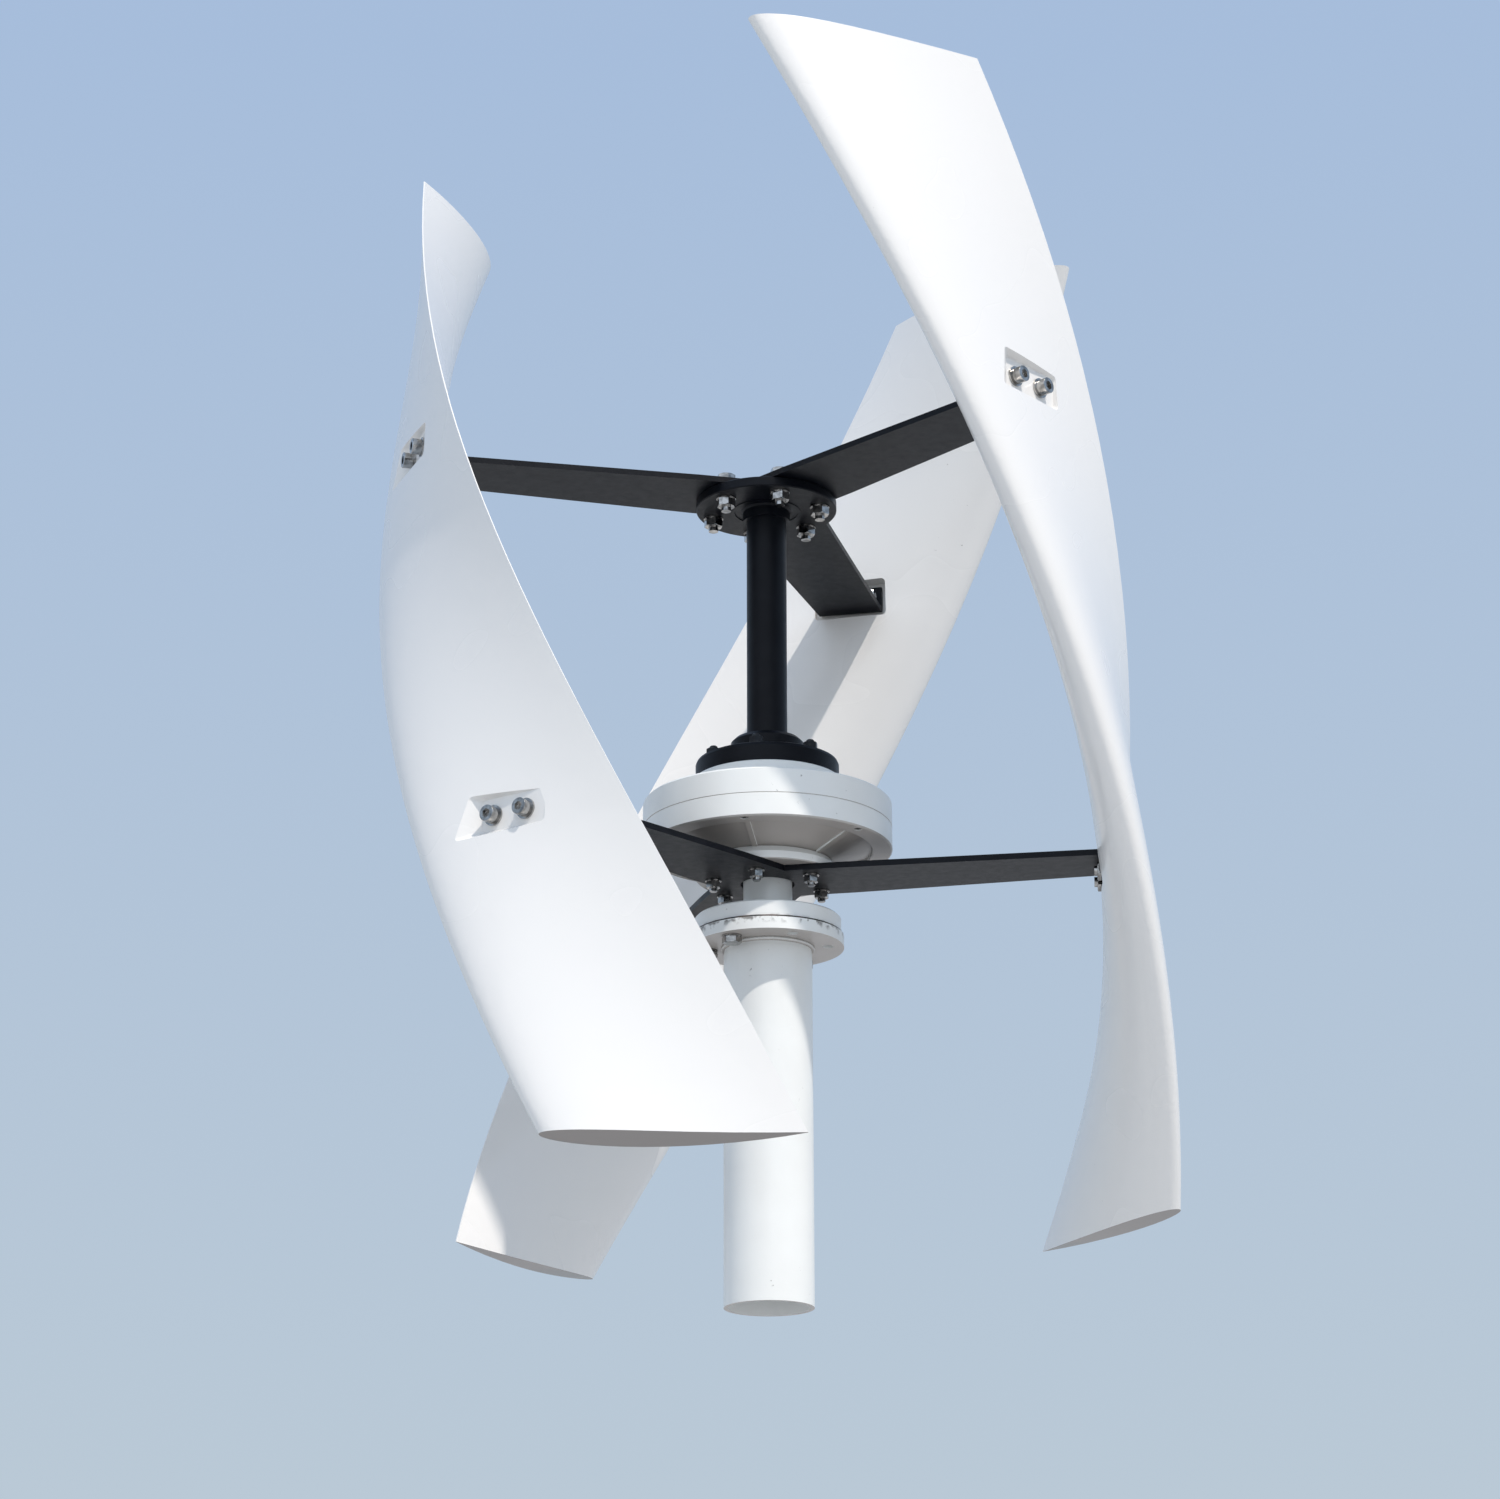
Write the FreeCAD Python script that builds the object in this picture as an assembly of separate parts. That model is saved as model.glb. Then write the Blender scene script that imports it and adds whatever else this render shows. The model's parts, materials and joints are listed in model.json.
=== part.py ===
import FreeCAD, Part
import math
import os
from FreeCAD import Placement, Rotation, Vector

# Three-bladed helical wind turbine on a mast stub, in millimetres.
# The origin is on the rotor axis at the open lower end of the mast, and +Z is up.

# Mast stub and its flange
mastRadius = 44.0
mastWall = 4.0
mastHeight = 359.0
mastEndRadius = 43.5
mastEndLength = 7.0
mastFlangeRadius = 75.7
mastFlangeThickness = 12.0
mastFlangeBore = 30.0
flangeHoleCircle = 60.0
flangeHoleRadius = 5.6
flangeHoleAngle = -126.0
flangeBoltPlaces = [0, 3, 4, 5]
weldLeg = 5.0
weldHollow = 0.45

# Fixed spindle that carries the stator and both bearings
spindleFlangeRadius = 73.0
spindleFlangeThickness = 18.0
neckRadius = 24.4
lowerSeatRadius = 20.0
upperSeatRadius = 17.5
spindleBore = 9.0
spindleTop = 541.0
statorCollarRadius = 34.0
statorCollarHeight = 5.5
wireHoleRadius = 6.0
wireHoleLevel = 501.0
ringNutRadius = 24.0
ringNutHeight = 7.0
ringNutSlot = (5.0, 6.0)

# Levels of the generator casing
lowerHubBottom = 431.0
lowerHubTop = 446.0
casingBottom = 458.5
casingSeam = 482.0
casingTop = 508.5
casingBossTop = 532.0
casingRadius = 125.0
casingWallInside = 119.0
lowerHubRadius = 72.3
lowerHubChamfer = 7.0
coneRadius = 104.0
ribCount = 6
ribThickness = 5.0
ribAngle = -101.0
ribRootRadius = 66.0
coverScrewCircle = 117.5
coverScrewRadius = 2.5
coverScrewHead = 4.0
coverScrewLength = 33.0
pillarRadius = 5.5

# Inside of the casing: cavity floor and ceiling, and the boss round each bearing
cavityFloor = 465.0
cavityCeiling = 503.0
cavityRadius = 100.0
bossRadius = 42.0
lowerBossTop = 449.0
upperBossBottom = 508.0
upperBossTop = 520.0
upperShoulder = 526.0
sealRadius = 26.0

# Stator and magnet discs
statorBottom = 479.5
statorThickness = 9.0
statorRadius = 112.0
airGap = 1.5
magnetThickness = 7.0
magnetPlateThickness = 6.0
magnetPlateRadius = 117.0
magnetPlateBore = 60.0
magnetCount = 12
coilCount = 9
statorClampRadius = 32.0
statorClampThickness = 5.0
statorScrewCircle = 27.0
statorScrewRadius = 2.0
statorScrewLength = 18.0
coilFit = 0.2
coilMargin = 0.5

# Sectors: inner radius, outer radius, half angle in degrees
coilWindow = (64.0, 106.0, 17.5)
coilCore = (76.0, 95.0, 8.0)
magnetSector = (66.0, 104.0, 10.5)

# Bearings: inner radius, outer radius, width, level of the lower face
lowerBearing = (lowerSeatRadius, 34.0, 15.0, 433.0)
upperBearing = (upperSeatRadius, 31.0, 14.0, 512.0)
ballRadius = 3.95
ballCount = 12
raceClearance = 0.04
shoulderShare = 0.55
cageHalfWall = 1.2
cageHalfHeight = 5.0
cageClearance = 0.08
shieldThickness = 0.8
shieldInset = 0.3

# Rotor tube with its base flange and upper hub
tubeRadius = 20.4
tubeWall = 4.0
baseFlangeRadius = 72.3
baseFlangeThickness = 21.0
socketRadius = 36.7
socketHeight = 24.0
flangeBore = 28.0
flangeRelief = 13.0
tubeSeat = 4.0
baseStudBottom = 522.0
upperHubBottom = 826.0
upperHubThickness = 10.0
collarRadius = 24.2
collarHeight = 12.0
weldRingRadius = 34.0

# Arm spiders
plateThickness = 6.0
armTip = 346.0
armRootHalfWidth = 44.3
armTipHalfWidth = 34.6
armRootAt = 70.0
armCornerRadius = 40.0
lowerSpiderBore = 27.0
tabHeight = 24.0
bendRadius = 2.0
foldLength = 60.0
hubBoltCircle = 57.0
upperArmAngle = -46.0
lowerArmAngle = -11.0
tabHoleDrop = 12.0
tabHoleHalfSpacing = 19.0

# Blades: the leading and trailing edges follow short polynomials of height
bladeCount = 3
bladeBottom = 94.0
bladeHeight = 1094.6
leadingRadius = (388.8, -17.1, -12.4)
trailingRadius = (365.8, 15.9, -51.6)
leadingAngle = (-47.67, -91.18, 3.77)
trailingAngle = (-9.99, -90.30, 2.79)
bladeThickness = 45.2
bladeCamber = -3.8
trailingHalfThickness = 0.6
bladeSections = 14
sectionPoints = 18
capBow = 3.7
capSlope = 0.113
pocketLeadingSide = 32.0
pocketTrailingSide = 41.0
pocketHalfHeight = 16.0
pocketRaise = 1.0
pocketReach = 40.0
leadingDraft = 57.0
trailingDraft = 20.0
endDraft = 28.0
recessMargin = 6.0
cornerRadius = 5.0

# Fastener sizes: thread radius, width across flats, nut height, washer radius
m10 = (5.0, 17.0, 8.4, 10.0)
m8 = (4.0, 13.0, 6.8, 8.0)
m6 = (3.0, 10.0, 5.2, 6.0)
washerThickness = 2.0
runningFit = 0.05

# The two arm spiders: plate level, arm angle, which way the tabs bend, how far each tab turns to lie
# along its blade's chord, and the blade wall between a tab and the floor of its screw pocket
upperArms = {"plate": upperHubBottom + upperHubThickness, "angle": upperArmAngle, "side": 1,
             "tabTurn": 4.3, "wall": 17.0}
lowerArms = {"plate": lowerHubBottom - plateThickness, "angle": lowerArmAngle, "side": -1,
             "tabTurn": 6.3, "wall": 21.0}

upVector = Vector(0, 0, 1)
turn = 360.0


def tube(outer, inner, low, high):
    body = Part.makeCylinder(outer, high - low, Vector(0, 0, low))
    if inner > 0:
        body = body.cut(Part.makeCylinder(inner, high - low + 2, Vector(0, 0, low - 1)))
    return body


def turned(outline):
    # Revolves a closed (radius, height) outline about the rotor axis.
    points = [Vector(r, 0, z) for r, z in outline]
    face = Part.Face(Part.makePolygon(points + [points[0]]))
    return face.revolve(Vector(0, 0, 0), upVector, turn)


def spun(shape, angle):
    copy = shape.copy()
    copy.rotate(Vector(0, 0, 0), upVector, angle)
    return copy


def around(shape, count, start=0.0):
    return [spun(shape, start + turn * i / count) for i in range(count)]


def group(shapes):
    return Part.makeCompound(shapes)


def save(name, shape):
    shape.exportStep("parts/" + name + ".step")


def hexPrism(flats, height):
    # A hexagonal prism with its corners turned off at both ends.
    corner = flats / math.sqrt(3)
    points = [Vector(corner, 0, 0)]
    for i in range(1, 7):
        angle = math.radians(60 * i)
        points.append(Vector(corner * math.cos(angle), corner * math.sin(angle), 0))
    prism = Part.Face(Part.makePolygon(points)).extrude(Vector(0, 0, height))
    bevel = (corner - flats / 2) * 0.55
    envelope = turned([(0, 0), (flats / 2, 0), (corner, bevel), (corner, height - bevel),
                       (flats / 2, height), (0, height)])
    return prism.common(envelope)


def hexNut(size):
    thread, flats, height, washer = size
    return hexPrism(flats, height).cut(Part.makeCylinder(thread, height + 2, Vector(0, 0, -1)))


def washerRing(size):
    return tube(size[3], size[0] + 0.2, 0, washerThickness)


def stud(size, length):
    rod = Part.makeCylinder(size[0], length)
    return rod.makeChamfer(0.8, [rod.Edges[0], rod.Edges[2]])


def hexBolt(size, length):
    # The head sits below z = 0 and the shank goes up from it.
    thread, flats, height, washer = size
    head = hexPrism(flats, height * 0.75)
    head.translate(Vector(0, 0, -height * 0.75))
    return head.fuse(Part.makeCylinder(thread, length))


def socketScrew(size, length):
    # The head sits above z = 0 and the shank goes down from it.
    thread = size[0]
    head = Part.makeCylinder(thread * 1.6, thread * 2)
    head = head.makeFillet(0.6, [e for e in head.Edges if e.BoundBox.ZMin > thread])
    key = hexPrism(thread * 1.6, thread)
    key.translate(Vector(0, 0, thread * 1.1))
    shank = Part.makeCylinder(thread, length, Vector(0, 0, -length))
    return head.fuse(shank).cut(key)


def raised(shape, height):
    copy = shape.copy()
    copy.translate(Vector(0, 0, height))
    return copy


def onCircle(shape, radius, count, start, height):
    placed = raised(shape, height)
    placed.translate(Vector(radius, 0, 0))
    return around(placed, count, start)


def holeRing(radius, circle, count, start, low, high):
    drill = Part.makeCylinder(radius, high - low)
    return onCircle(drill, circle, count, start, low)


def atTip(shape, arms, index=0):
    # Moves a shape from the tab's frame, X outward from its outer face, to one arm's tip.
    copy = spun(shape, arms["tabTurn"])
    copy.translate(Vector(armTip, 0, 0))
    return spun(copy, arms["angle"] + index * turn / bladeCount)


def alongArm(shape, arms, index, out, side):
    # Turns a +Z fastener to point outward through an arm's tab, then places it.
    copy = shape.copy()
    copy.Placement = Placement(Vector(out, side, tabHoleLevel(arms)), Rotation(Vector(0, 1, 0), 90))
    return atTip(copy, arms, index)


# Mast and fixed spindle

def mastTube():
    # The upper end is turned down a little for the weld, so a sleeve can slide all the way up to it.
    bore = mastRadius - mastWall
    step = mastHeight - mastEndLength
    return turned([(bore, 0), (mastRadius, 0), (mastRadius, step), (mastEndRadius, step),
                   (mastEndRadius, mastHeight), (bore, mastHeight)])


def mastWeld():
    middle = weldLeg * weldHollow
    return turned([(mastEndRadius, mastHeight), (mastRadius + weldLeg, mastHeight),
                   (mastRadius + middle, mastHeight - middle), (mastEndRadius, mastHeight - weldLeg)])


def mastFlange():
    top = mastHeight + mastFlangeThickness
    disc = tube(mastFlangeRadius, mastFlangeBore, mastHeight, top)
    holes = holeRing(flangeHoleRadius, flangeHoleCircle, 6, flangeHoleAngle, mastHeight, top)
    return disc.cut(group(holes))


def spindle():
    base = mastHeight + mastFlangeThickness
    top = base + spindleFlangeThickness
    edge = 1.5
    collar = statorCollarRadius
    collarBottom = statorBottom - statorCollarHeight
    body = turned([(spindleBore, base), (spindleFlangeRadius, base), (spindleFlangeRadius, top - edge),
                   (spindleFlangeRadius - edge, top), (neckRadius + 3, top), (neckRadius, top + 3),
                   (neckRadius, lowerBearing[3]), (lowerSeatRadius, lowerBearing[3]),
                   (lowerSeatRadius, collarBottom), (collar, collarBottom), (collar, statorBottom),
                   (lowerSeatRadius, statorBottom), (lowerSeatRadius, upperBearing[3]),
                   (upperSeatRadius, upperBearing[3]), (upperSeatRadius, spindleTop - 1),
                   (upperSeatRadius - 1, spindleTop), (spindleBore, spindleTop)])
    holes = holeRing(m10[0], flangeHoleCircle, 6, flangeHoleAngle, base, top)
    wireHole = Part.makeCylinder(wireHoleRadius, mastRadius, Vector(0, 0, wireHoleLevel), Vector(1, 0, 0))
    return body.cut(group(holes)).cut(wireHole).cut(group(statorScrewHoles(collarBottom)))


def statorScrewHoles(low):
    high = statorBottom + statorThickness + statorClampThickness + 1
    return holeRing(statorScrewRadius + 0.1, statorScrewCircle, 6, 0, low, high)


def flangeBolts():
    bolt = hexBolt(m10, mastFlangeThickness + spindleFlangeThickness - 4)
    places = onCircle(bolt, flangeHoleCircle, 6, flangeHoleAngle, mastHeight - washerThickness)
    return group([places[i] for i in flangeBoltPlaces])


def flangeWashers():
    ring = washerRing(m10)
    places = onCircle(ring, flangeHoleCircle, 6, flangeHoleAngle, mastHeight - washerThickness)
    return group([places[i] for i in flangeBoltPlaces])


def spindleNut():
    # A slotted ring nut that clamps the upper bearing's inner ring.
    low = upperBearing[3] + upperBearing[2]
    nut = tube(ringNutRadius, upperSeatRadius, low, low + ringNutHeight)
    depth, width = ringNutSlot
    corner = Vector(ringNutRadius - depth / 2, -width / 2, low - 1)
    slot = Part.makeBox(depth, width, ringNutHeight + 2, corner)
    return nut.cut(group(around(slot, 4)))


# Bearings

def pitchRadius(bearing):
    return (bearing[0] + bearing[1]) / 2


def race(bearing):
    middle = bearing[3] + bearing[2] / 2
    return Part.makeTorus(pitchRadius(bearing), ballRadius + raceClearance, Vector(0, 0, middle))


def innerRing(bearing):
    inner, outer, width, low = bearing
    shoulder = pitchRadius(bearing) - ballRadius * shoulderShare
    return tube(shoulder, inner, low, low + width).cut(race(bearing))


def outerRing(bearing):
    inner, outer, width, low = bearing
    shoulder = pitchRadius(bearing) + ballRadius * shoulderShare
    return tube(outer, shoulder, low, low + width).cut(race(bearing))


def balls(bearing):
    middle = bearing[3] + bearing[2] / 2
    ball = Part.makeSphere(ballRadius, Vector(pitchRadius(bearing), 0, middle))
    return group(around(ball, ballCount))


def cage(bearing):
    middle = bearing[3] + bearing[2] / 2
    pitch = pitchRadius(bearing)
    ring = tube(pitch + cageHalfWall, pitch - cageHalfWall, middle - cageHalfHeight, middle + cageHalfHeight)
    start = Vector(pitch - ballRadius, 0, middle)
    pocket = Part.makeCylinder(ballRadius + cageClearance, 2 * ballRadius, start, Vector(1, 0, 0))
    return ring.cut(group(around(pocket, ballCount)))


def shields(bearing):
    inner, outer, width, low = bearing
    reach = pitchRadius(bearing) + ballRadius * shoulderShare
    lip = pitchRadius(bearing) - ballRadius * shoulderShare + 0.4
    lowest = low + shieldInset
    highest = low + width - shieldInset
    return group([tube(reach, lip, lowest, lowest + shieldThickness),
                  tube(reach, lip, highest - shieldThickness, highest)])


# Stator and magnets

def sector(inner, outer, halfAngle, low, high):
    # A block bounded by two arcs and two radii, centred on +X.
    a = math.radians(halfAngle)
    corners = [Vector(r * math.cos(t), r * math.sin(t), low) for r, t in
               ((inner, -a), (outer, -a), (outer, a), (inner, a))]
    outerArc = Part.Arc(corners[1], Vector(outer, 0, low), corners[2]).toShape()
    innerArc = Part.Arc(corners[3], Vector(inner, 0, low), corners[0]).toShape()
    near = Part.makeLine(corners[0], corners[1])
    far = Part.makeLine(corners[2], corners[3])
    return Part.Face(Part.Wire([near, outerArc, far, innerArc])).extrude(Vector(0, 0, high - low))


def statorDisc():
    top = statorBottom + statorThickness
    disc = tube(statorRadius, lowerSeatRadius, statorBottom, top)
    window = sector(*coilWindow, statorBottom - 1, top + 1)
    core = sector(*coilCore, statorBottom - 1, top + 1)
    frame = window.cut(core)
    return disc.cut(group(around(frame, coilCount))).cut(group(statorScrewHoles(statorBottom)))


def statorCoils():
    low = statorBottom + coilMargin
    high = statorBottom + statorThickness - coilMargin
    inner, outer, half = coilWindow
    coreInner, coreOuter, coreHalf = coilCore
    core = sector(coreInner - coilFit, coreOuter + coilFit, coreHalf + coilFit, low - 1, high + 1)
    winding = sector(inner + coilFit, outer - coilFit, half - coilFit, low, high).cut(core)
    return group(around(winding, coilCount))


def statorClamp():
    low = statorBottom + statorThickness
    ring = tube(statorClampRadius, lowerSeatRadius + runningFit, low, low + statorClampThickness)
    return ring.cut(group(statorScrewHoles(low)))


def statorScrews():
    top = statorBottom + statorThickness + statorClampThickness
    radius = statorScrewRadius
    socket = raised(hexPrism(radius * 1.5, radius * 1.5), radius)
    head = Part.makeCylinder(radius * 1.9, radius * 2).cut(socket)
    screw = head.fuse(Part.makeCylinder(radius, statorScrewLength, Vector(0, 0, -statorScrewLength)))
    return group(onCircle(screw, statorScrewCircle, 6, 0, top))


def magnetPlate(low):
    return tube(magnetPlateRadius, magnetPlateBore, low, low + magnetPlateThickness)


def magnets(low):
    block = sector(*magnetSector, low, low + magnetThickness)
    return group(around(block, magnetCount))


# Generator casing

def coverScrewPlaces(shape, height):
    return onCircle(shape, coverScrewCircle, ribCount, ribAngle, height)


def lowerCover():
    bearingOuter = lowerBearing[1]
    root = ribRootRadius
    shell = turned([(sealRadius, lowerHubBottom), (lowerHubRadius - 1, lowerHubBottom),
                    (lowerHubRadius, lowerHubBottom + 1), (lowerHubRadius, lowerHubTop - lowerHubChamfer),
                    (lowerHubRadius - lowerHubChamfer, lowerHubTop), (root - 4, lowerHubTop),
                    (coneRadius, casingBottom + 2.5),
                    (coneRadius + 1.5, casingBottom), (casingRadius - 1.5, casingBottom),
                    (casingRadius, casingBottom + 1.5), (casingRadius, casingSeam - 0.6),
                    (casingRadius - 0.6, casingSeam), (casingWallInside, casingSeam),
                    (casingWallInside, cavityFloor), (cavityRadius, cavityFloor), (bossRadius, lowerBossTop),
                    (bearingOuter, lowerBossTop), (bearingOuter, lowerBearing[3]),
                    (sealRadius, lowerBearing[3])])
    profile = [Vector(root, 0, lowerHubTop - 1), Vector(coneRadius + 0.5, 0, casingBottom + 0.8),
               Vector(coneRadius + 0.5, 0, casingBottom + 4), Vector(root, 0, lowerHubTop + 6)]
    rib = Part.Face(Part.makePolygon(profile + [profile[0]])).extrude(Vector(0, ribThickness, 0))
    rib.translate(Vector(0, -ribThickness / 2, 0))
    shell = shell.fuse(around(rib, ribCount, ribAngle)).removeSplitter()
    studHoles = holeRing(m8[0], hubBoltCircle, 6, lowerArmAngle + 30, lowerHubBottom - 1, lowerHubTop - 3)
    screwHoles = coverScrewPlaces(Part.makeCylinder(coverScrewRadius + 0.1, 40), casingBottom - 1)
    sinks = coverScrewPlaces(Part.makeCylinder(coverScrewHead + 0.2, 5), casingBottom - 1)
    return shell.cut(group(studHoles)).cut(group(screwHoles + sinks))


def upperCover():
    bearingOuter = upperBearing[1]
    boss = lowerHubRadius + 3.7
    seal = sealRadius + 1
    shell = turned([(casingWallInside, casingSeam), (casingRadius - 0.6, casingSeam),
                    (casingRadius, casingSeam + 0.6), (casingRadius, casingTop - 2),
                    (casingRadius - 2, casingTop), (coneRadius, casingTop), (boss + 2, upperBossTop),
                    (boss, upperBossTop + 2), (boss, casingBossTop - 1), (boss - 1, casingBossTop),
                    (seal, casingBossTop), (seal, upperShoulder), (bearingOuter, upperShoulder),
                    (bearingOuter, upperBossBottom), (bossRadius, upperBossBottom),
                    (bossRadius, upperBossTop),
                    (boss - 2, upperBossTop - 6), (cavityRadius, cavityCeiling),
                    (casingWallInside, cavityCeiling)])
    screwHoles = coverScrewPlaces(Part.makeCylinder(coverScrewRadius + 0.1, 20), casingSeam - 1)
    pillars = coverScrewPlaces(Part.makeCylinder(pillarRadius, casingTop - 4 - casingSeam), casingSeam)
    studHoles = holeRing(m8[0], hubBoltCircle, 6, lowerArmAngle + 30, baseStudBottom - 1, casingBossTop + 1)
    shell = shell.fuse(pillars).removeSplitter()
    return shell.cut(group(screwHoles + studHoles))


def coverPillarGap(shape):
    # Clears a disc around the six screw pillars of the casing.
    gap = coverScrewPlaces(Part.makeCylinder(pillarRadius + 1, 60), casingBottom)
    return shape.cut(group(gap))


def coverScrews():
    sink = 3.0
    head = Part.makeCylinder(coverScrewHead, sink).cut(hexPrism(coverScrewHead * 0.9, sink * 0.6))
    screw = head.fuse(Part.makeCylinder(coverScrewRadius, coverScrewLength, Vector(0, 0, sink)))
    return group(coverScrewPlaces(screw, casingBottom + 0.6))


# Rotor tube, base flange and upper hub

def baseFlange():
    low = casingBossTop
    top = low + baseFlangeThickness
    socketTop = top + socketHeight
    body = turned([(flangeBore, low), (baseFlangeRadius - 1, low), (baseFlangeRadius, low + 1),
                   (baseFlangeRadius, top - 4), (baseFlangeRadius - 1.2, top - 1.2),
                   (baseFlangeRadius - 4, top),
                   (socketRadius, top), (socketRadius, socketTop - 4), (socketRadius - 4, socketTop),
                   (tubeRadius, socketTop), (tubeRadius, top + tubeSeat), (0, top + tubeSeat),
                   (0, low + flangeRelief), (flangeBore, low + flangeRelief)])
    holes = holeRing(m8[0] + 0.3, hubBoltCircle, 6, lowerArmAngle + 30, low - 1, top + 1)
    return body.cut(group(holes))


def rotorTube():
    low = casingBossTop + baseFlangeThickness + tubeSeat
    return tube(tubeRadius, tubeRadius - tubeWall, low, upperHubBottom + upperHubThickness - 2)


def upperHub():
    top = upperHubBottom + upperHubThickness
    body = turned([(tubeRadius, upperHubBottom - collarHeight), (collarRadius, upperHubBottom - collarHeight),
                   (collarRadius, upperHubBottom - 2), (collarRadius + 2, upperHubBottom),
                   (weldRingRadius - 1, upperHubBottom), (weldRingRadius - 1, upperHubBottom - 0.8),
                   (weldRingRadius + 1, upperHubBottom - 0.8), (weldRingRadius + 1, upperHubBottom),
                   (baseFlangeRadius - 1, upperHubBottom),
                   (baseFlangeRadius, upperHubBottom + 1), (baseFlangeRadius, top - 1),
                   (baseFlangeRadius - 1, top), (0, top), (0, top - 2), (tubeRadius, top - 2)])
    holes = holeRing(m10[0] + 0.3, hubBoltCircle, 6, upperArmAngle + 30, upperHubBottom - 1, top + 1)
    return body.cut(group(holes))


# Arm spiders

def armHalfWidth(radius):
    share = (radius - armRootAt) / (armTip - armRootAt)
    return armRootHalfWidth + (armTipHalfWidth - armRootHalfWidth) * share


def spiderPlan(low, high):
    # The flat three-armed outline, with rounded corners between the arms.
    corner = armHalfWidth(0) / math.sin(math.radians(60))
    reach = armTip + tabHeight
    tip = armHalfWidth(reach)
    points = []
    for arm in range(bladeCount):
        turnBy = Rotation(upVector, arm * turn / bladeCount)
        for x, y in ((corner * 0.5, -armHalfWidth(corner * 0.5)), (reach, -tip), (reach, tip)):
            points.append(turnBy.multVec(Vector(x, y, low)))
    plan = Part.Face(Part.makePolygon(points + [points[0]])).extrude(Vector(0, 0, high - low))
    inside = [e for e in plan.Edges if e.Length > (high - low) * 0.9
              and math.hypot(e.CenterOfMass.x, e.CenterOfMass.y) < armRootAt]
    return plan.makeFillet(armCornerRadius, inside)


def foldedTip(arms):
    # The arm's end in the tab's frame, seen from its edge: flat, then bent through a right angle.
    width = armRootHalfWidth * 2
    low = arms["plate"]
    flat = Part.makeBox(foldLength, width, plateThickness, Vector(-foldLength, -width / 2, low))
    tabLow = low if arms["side"] > 0 else low - tabHeight
    tab = Part.makeBox(plateThickness, width, tabHeight + plateThickness,
                       Vector(-plateThickness, -width / 2, tabLow))
    fold = flat.fuse(tab).removeSplitter()
    outerZ = low if arms["side"] > 0 else low + plateThickness
    innerZ = low + plateThickness if arms["side"] > 0 else low
    fold = fold.makeFillet(bendRadius + plateThickness, bendEdges(fold, 0, outerZ, width))
    return fold.makeFillet(bendRadius, bendEdges(fold, -plateThickness, innerZ, width))


def bendEdges(shape, x, z, width):
    return [e for e in shape.Edges if e.Length > width * 0.9 and abs(e.CenterOfMass.z - z) < 0.01
            and abs(e.CenterOfMass.x - x) < 0.01]


def spider(arms, bore, boltRadius):
    low = arms["plate"]
    width = armRootHalfWidth * 2
    flat = Part.makeBox(armTip - foldLength / 2, width, plateThickness, Vector(0, -width / 2, low))
    limbs = around(flat, bladeCount, arms["angle"])
    tips = [atTip(foldedTip(arms), arms, index) for index in range(bladeCount)]
    bent = limbs[0].fuse(limbs[1:] + tips)
    plan = spun(spiderPlan(low - tabHeight - 1, low + plateThickness + tabHeight + 1), arms["angle"])
    plate = bent.common(plan).removeSplitter()
    above = plateThickness + 2
    cuts = holeRing(boltRadius + 0.3, hubBoltCircle, 6, arms["angle"] + 30, low - 1, low + above)
    if bore > 0:
        cuts.append(Part.makeCylinder(bore, above + 1, Vector(0, 0, low - 1)))
    drill = Part.makeCylinder(m10[0] + 0.3, 2 * plateThickness)
    for index in range(bladeCount):
        for offset in (-tabHoleHalfSpacing, tabHoleHalfSpacing):
            cuts.append(alongArm(drill, arms, index, -1.5 * plateThickness, offset))
    return plate.cut(group(cuts))


def tabHoleLevel(arms):
    if arms["side"] > 0:
        return arms["plate"] + plateThickness + tabHoleDrop
    return arms["plate"] - tabHoleDrop


# Blades

def polynomial(terms, share):
    return terms[0] + terms[1] * share + terms[2] * share * share


def edgePoint(radiusTerms, angleTerms, share):
    radius = polynomial(radiusTerms, share)
    angle = math.radians(polynomial(angleTerms, share))
    return Vector(radius * math.cos(angle), radius * math.sin(angle), 0)


def halfThickness(x):
    shape = 0.2969 * math.sqrt(x) - 0.1260 * x - 0.3516 * x**2 + 0.2843 * x**3 - 0.1036 * x**4
    return 5 * bladeThickness * shape + trailingHalfThickness * x


def chordFrame(share):
    leading = edgePoint(leadingRadius, leadingAngle, share)
    trailing = edgePoint(trailingRadius, trailingAngle, share)
    chord = trailing - leading
    along = Vector(chord).normalize()
    outward = along.cross(upVector)
    if outward.dot(leading + trailing) < 0:
        outward = outward * -1
    return leading, along, outward, chord.Length


def bladeSection(share):
    # A closed aerofoil outline at one height, leading edge on the clockwise side.
    leading, along, outward, length = chordFrame(share)
    level = upVector * (bladeBottom + (share + 0.5) * bladeHeight)
    points = []
    for step in range(-sectionPoints, sectionPoints + 1):
        x = 1 - math.cos(math.pi * abs(step) / (2 * sectionPoints)) if abs(step) < sectionPoints else 1.0
        side = 1 if step < 0 else -1
        bulge = bladeCamber * 4 * x * (1 - x) + side * halfThickness(x)
        points.append(leading + along * (x * length) + outward * bulge + level)
    curve = Part.BSplineCurve()
    curve.interpolate(points)
    return Part.Wire([curve.toShape(), Part.makeLine(points[-1], points[0])])


def capCylinder():
    # A very large cylinder whose lowest line trims the blade's lower end.
    leading, along, outward, length = chordFrame(-0.5)
    radius = length * length / (8 * capBow)
    axis = Vector(outward + upVector * capSlope).normalize()
    up = along.cross(axis)
    if up.z < 0:
        up = up * -1
    middle = leading + along * (length / 2) + upVector * (bladeBottom - capBow)
    reach = 2400.0
    return Part.makeCylinder(radius, 2 * reach, middle + up * radius - axis * reach, axis)


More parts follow.
